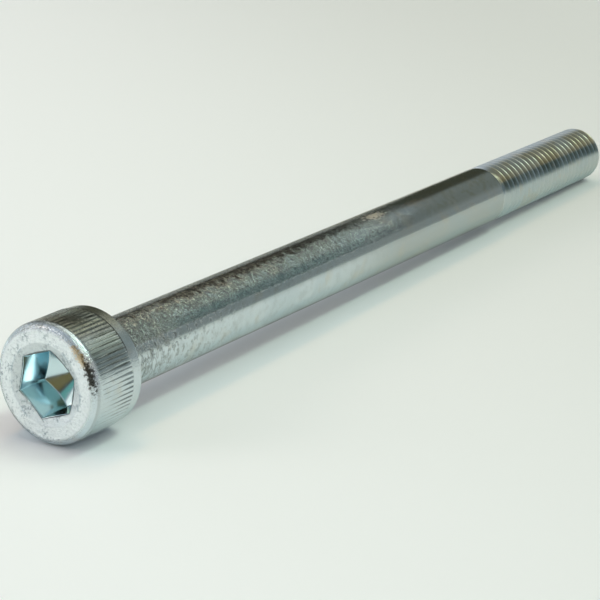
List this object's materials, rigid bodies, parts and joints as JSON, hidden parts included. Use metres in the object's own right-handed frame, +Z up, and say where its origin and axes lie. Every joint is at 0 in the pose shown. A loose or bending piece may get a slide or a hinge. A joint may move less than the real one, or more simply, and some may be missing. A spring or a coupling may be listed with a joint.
{
  "type": "hex socket cap screw",
  "caption": "Long socket head cap screw with a knurled cylindrical head, a hexagon socket, a plain shank and a thread at the end, lying on its side.",
  "frame": {"origin": "centre of the lying screw's footprint, on the surface that it rests on", "axes": "+X along the screw towards the tip, +Z up; the screw's own axis dips a little over one degree towards the tip, because the head is wider than the shank"},
  "size_m": [0.0962, 0.01, 0.0101],
  "materials": {
    "plated_steel": "bright zinc plating over cold formed steel, with a faint blue and gold tint, small nicks and forming marks"
  },
  "bodies": {
    "root": {"cap_screw": "plated_steel"}
  },
  "joints": []
}
